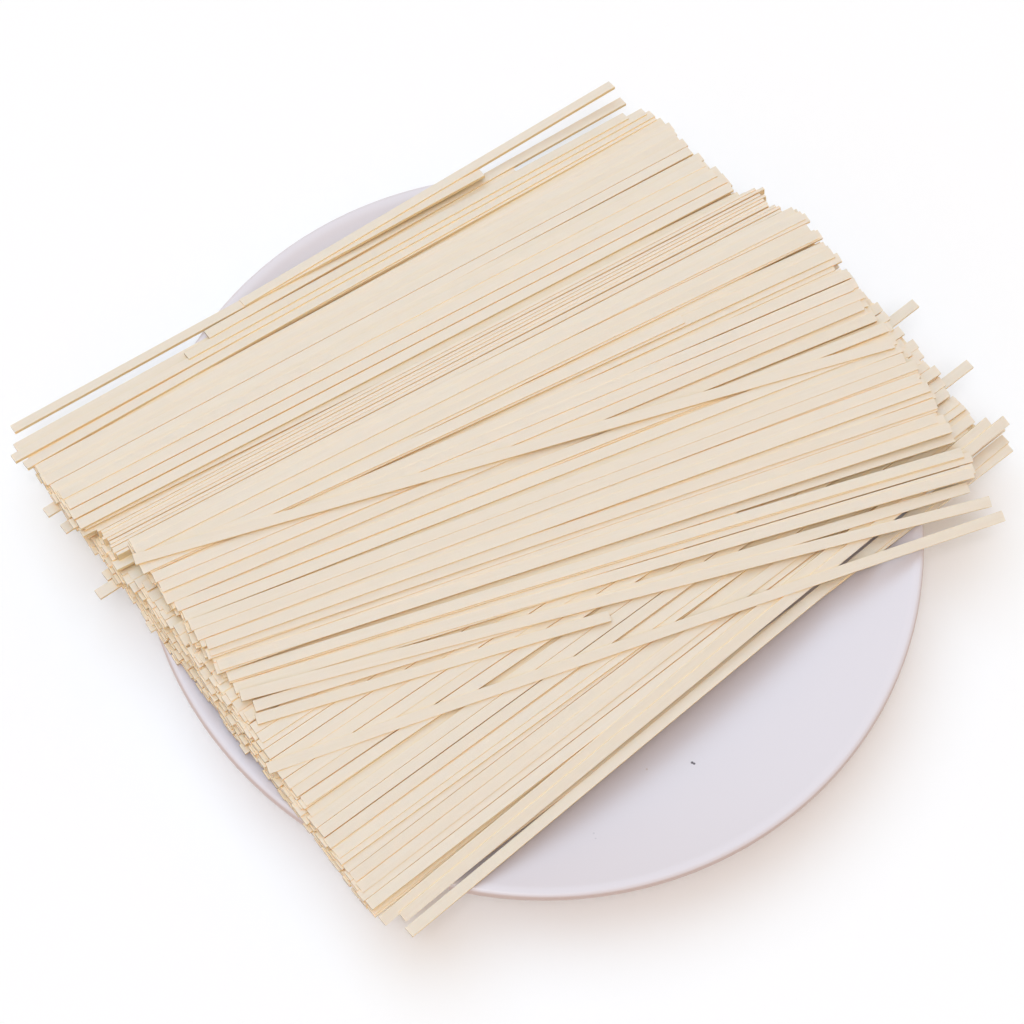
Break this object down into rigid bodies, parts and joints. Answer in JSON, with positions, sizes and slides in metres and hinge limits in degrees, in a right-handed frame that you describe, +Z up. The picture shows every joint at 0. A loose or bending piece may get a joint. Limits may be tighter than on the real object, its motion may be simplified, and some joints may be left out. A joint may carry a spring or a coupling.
{
  "type": "heap of dried wheat noodles on a plate",
  "caption": "Loose heap of straight, flat dried wheat noodles lying side by side across a plain white round plate with a low foot ring.",
  "frame": {"origin": "on the ground under the middle of the whole: the plate's foot ring stands on z = 0, and the noodles reach equally far left and right", "axes": "+X along the noodles to the right, +Y across them to the back, +Z up"},
  "size_m": [0.278, 0.2432, 0.0483],
  "materials": {
    "plate": "smooth white glaze",
    "noodles": "matte dried wheat dough"
  },
  "bodies": {
    "root": {"plate": "plate", "noodle_heap": "noodles"}
  },
  "joints": []
}
